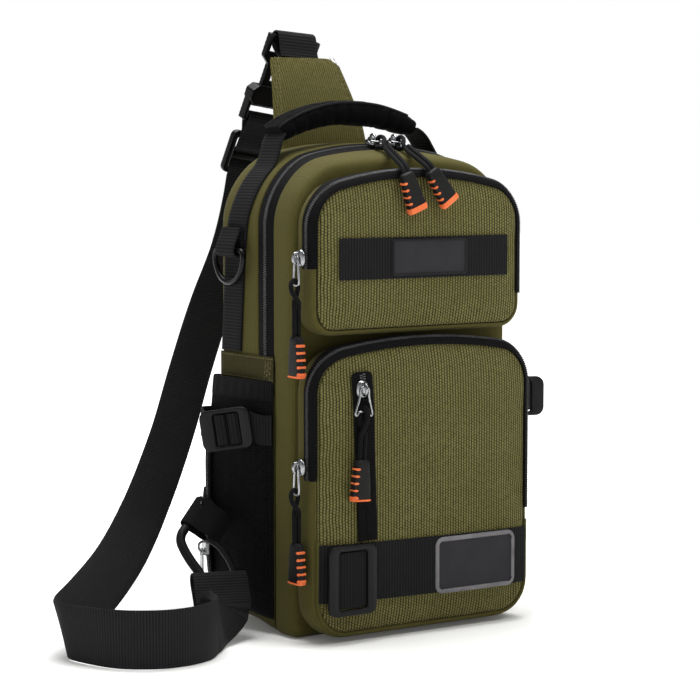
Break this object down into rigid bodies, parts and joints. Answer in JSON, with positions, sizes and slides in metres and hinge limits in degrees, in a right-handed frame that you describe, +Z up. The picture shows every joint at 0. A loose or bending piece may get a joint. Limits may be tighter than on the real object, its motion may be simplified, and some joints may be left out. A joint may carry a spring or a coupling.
{
  "type": "sling bag",
  "caption": "Upright olive cloth sling bag with zipped front pockets, mesh side pockets, a padded top handle and a webbing shoulder strap laid on the floor.",
  "frame": {"origin": "on the floor under the middle of the body, on the bag's flat bottom", "axes": "+Z up, the front with the pockets faces -Y, +X to the right seen from the front"},
  "size_m": [0.3687, 0.2073, 0.4051],
  "materials": {
    "body_cloth": "plain olive polyester cloth, matt",
    "pocket_cloth": "coarse olive oxford weave, matt",
    "webbing": "black ribbed webbing, matt",
    "zip_tape": "black zip tape with moulded teeth",
    "mesh": "black knitted mesh",
    "plastic": "black satin moulded plastic",
    "rubber": "dark grey soft rubber",
    "patch": "black moulded rubber, raised rim",
    "steel": "bright plated zip metal"
  },
  "bodies": {
    "bag": {"back_shell": "body_cloth", "front_shell": "body_cloth", "main_zip": "zip_tape", "upper_pocket": "pocket_cloth", "lower_pocket": "pocket_cloth", "upper_pocket_zip": "zip_tape", "lower_pocket_zip": "zip_tape", "upper_band": "webbing", "upper_patch": "patch", "lower_band": "webbing", "lower_patch": "patch", "face_zip": "zip_tape", "band_ring": "plastic", "ring_keeper": "webbing", "left_mesh": "mesh", "left_mesh_edge": "webbing", "left_band": "body_cloth", "left_side_strap": "webbing", "left_side_lock": "plastic", "right_mesh": "mesh", "right_mesh_edge": "webbing", "right_band": "body_cloth", "right_side_strap": "webbing", "right_side_lock": "plastic", "rear_zip": "zip_tape", "left_handle_web": "webbing", "right_handle_web": "webbing", "handle_grip": "webbing", "dring_tab": "webbing", "yoke": "pocket_cloth", "yoke_web": "webbing", "buckle_male": "plastic", "buckle_female": "plastic", "strap_glide": "plastic", "snap_hook": "plastic", "hook_ring": "plastic", "hook_tab": "webbing", "shoulder_strap": "webbing", "upper_pocket_slider": "steel", "upper_pocket_bail": "steel", "upper_pocket_pull": "rubber", "lower_pocket_slider": "steel", "lower_pocket_bail": "steel", "lower_pocket_pull": "rubber", "face_slider": "steel", "face_bail": "steel", "face_pull": "rubber", "left_main_slider": "steel", "left_main_bail": "steel", "left_main_pull": "rubber", "right_main_slider": "steel", "right_main_bail": "steel", "right_main_pull": "rubber", "rear_slider": "steel", "rear_tongue": "steel"},
    "d_ring": {"d_ring": "plastic"},
    "hook_gate": {"hook_gate": "plastic"}
  },
  "joints": [
    {"name": "d_ring_swing", "type": "hinge", "parent": "bag", "child": "d_ring", "pos_m": [-0.0944, 0.024, 0.253], "axis": [0, 1, 0], "range_deg": [0, 110]},
    {"name": "hook_gate_spring", "type": "hinge", "parent": "bag", "child": "hook_gate", "pos_m": [-0.12111, 0.01053, 0.06488], "axis": [-0.2207, -0.8232, 0.5232], "range_deg": [0, 30], "stiffness_Nm_per_rad": 0.004, "springref_deg": -11.46}
  ]
}
